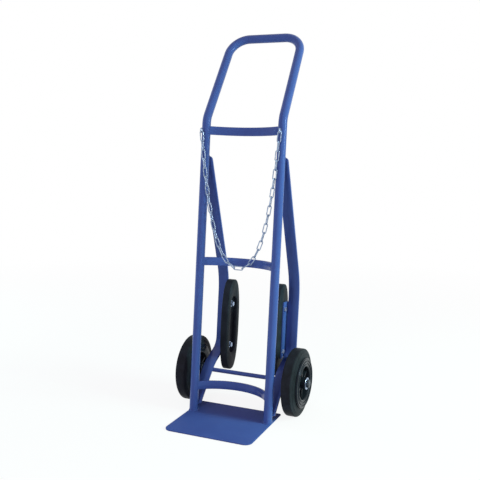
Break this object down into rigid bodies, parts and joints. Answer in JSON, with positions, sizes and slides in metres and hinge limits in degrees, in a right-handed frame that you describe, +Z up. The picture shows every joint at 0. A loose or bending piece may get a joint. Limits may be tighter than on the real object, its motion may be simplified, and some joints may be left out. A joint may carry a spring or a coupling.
{
  "type": "gas cylinder trolley",
  "caption": "Blue steel hand trolley for a gas cylinder: bent tube frame and handle, curved cross bars, toe plate, rubber-tyred wheels, stair skids and a safety chain.",
  "frame": {"origin": "underside of the toe plate, midway between the feet of the uprights' centre lines", "axes": "+Z up from the floor, +Y back towards the wheels, +X across to the right-hand wheel seen from the front"},
  "size_m": [0.424, 0.4364, 1.1364],
  "materials": {
    "blue_paint": "gloss powder coat",
    "zinc_plate": "bright zinc plating",
    "tyre_rubber": "satin",
    "rim_plastic": "satin",
    "skid_rubber": "satin"
  },
  "bodies": {
    "frame": {"frame_tube": "blue_paint", "upper_cross_bar": "blue_paint", "middle_cross_bar": "blue_paint", "lower_cross_bar": "blue_paint", "toe_plate": "blue_paint", "left_stay": "blue_paint", "right_stay": "blue_paint", "axle": "blue_paint", "left_axle_washers": "zinc_plate", "left_axle_nut": "zinc_plate", "left_skid_angle": "blue_paint", "left_skid": "skid_rubber", "left_skid_bolts": "zinc_plate", "left_skid_washers": "zinc_plate", "left_skid_nuts": "zinc_plate", "left_chain_eye": "zinc_plate", "right_axle_washers": "zinc_plate", "right_axle_nut": "zinc_plate", "right_skid_angle": "blue_paint", "right_skid": "skid_rubber", "right_skid_bolts": "zinc_plate", "right_skid_washers": "zinc_plate", "right_skid_nuts": "zinc_plate", "right_chain_eye": "zinc_plate"},
    "left_wheel": {"left_tyre": "tyre_rubber", "left_rim": "rim_plastic", "left_bush": "zinc_plate"},
    "right_wheel": {"right_tyre": "tyre_rubber", "right_rim": "rim_plastic", "right_bush": "zinc_plate"},
    "chain": {"chain_flat_links": "zinc_plate", "chain_edge_links": "zinc_plate"}
  },
  "joints": [
    {"name": "left_wheel_spin", "type": "hinge", "parent": "frame", "child": "left_wheel", "pos_m": [-0.1705, 0.104, 0.101], "axis": [1, 0, 0], "continuous": true},
    {"name": "right_wheel_spin", "type": "hinge", "parent": "frame", "child": "right_wheel", "pos_m": [0.1705, 0.104, 0.101], "axis": [1, 0, 0], "continuous": true},
    {"name": "chain_swing", "type": "hinge", "parent": "frame", "child": "chain", "pos_m": [0, 0.05002, 0.83876], "axis": [1, 0, 0], "range_deg": [-75, 0]}
  ]
}
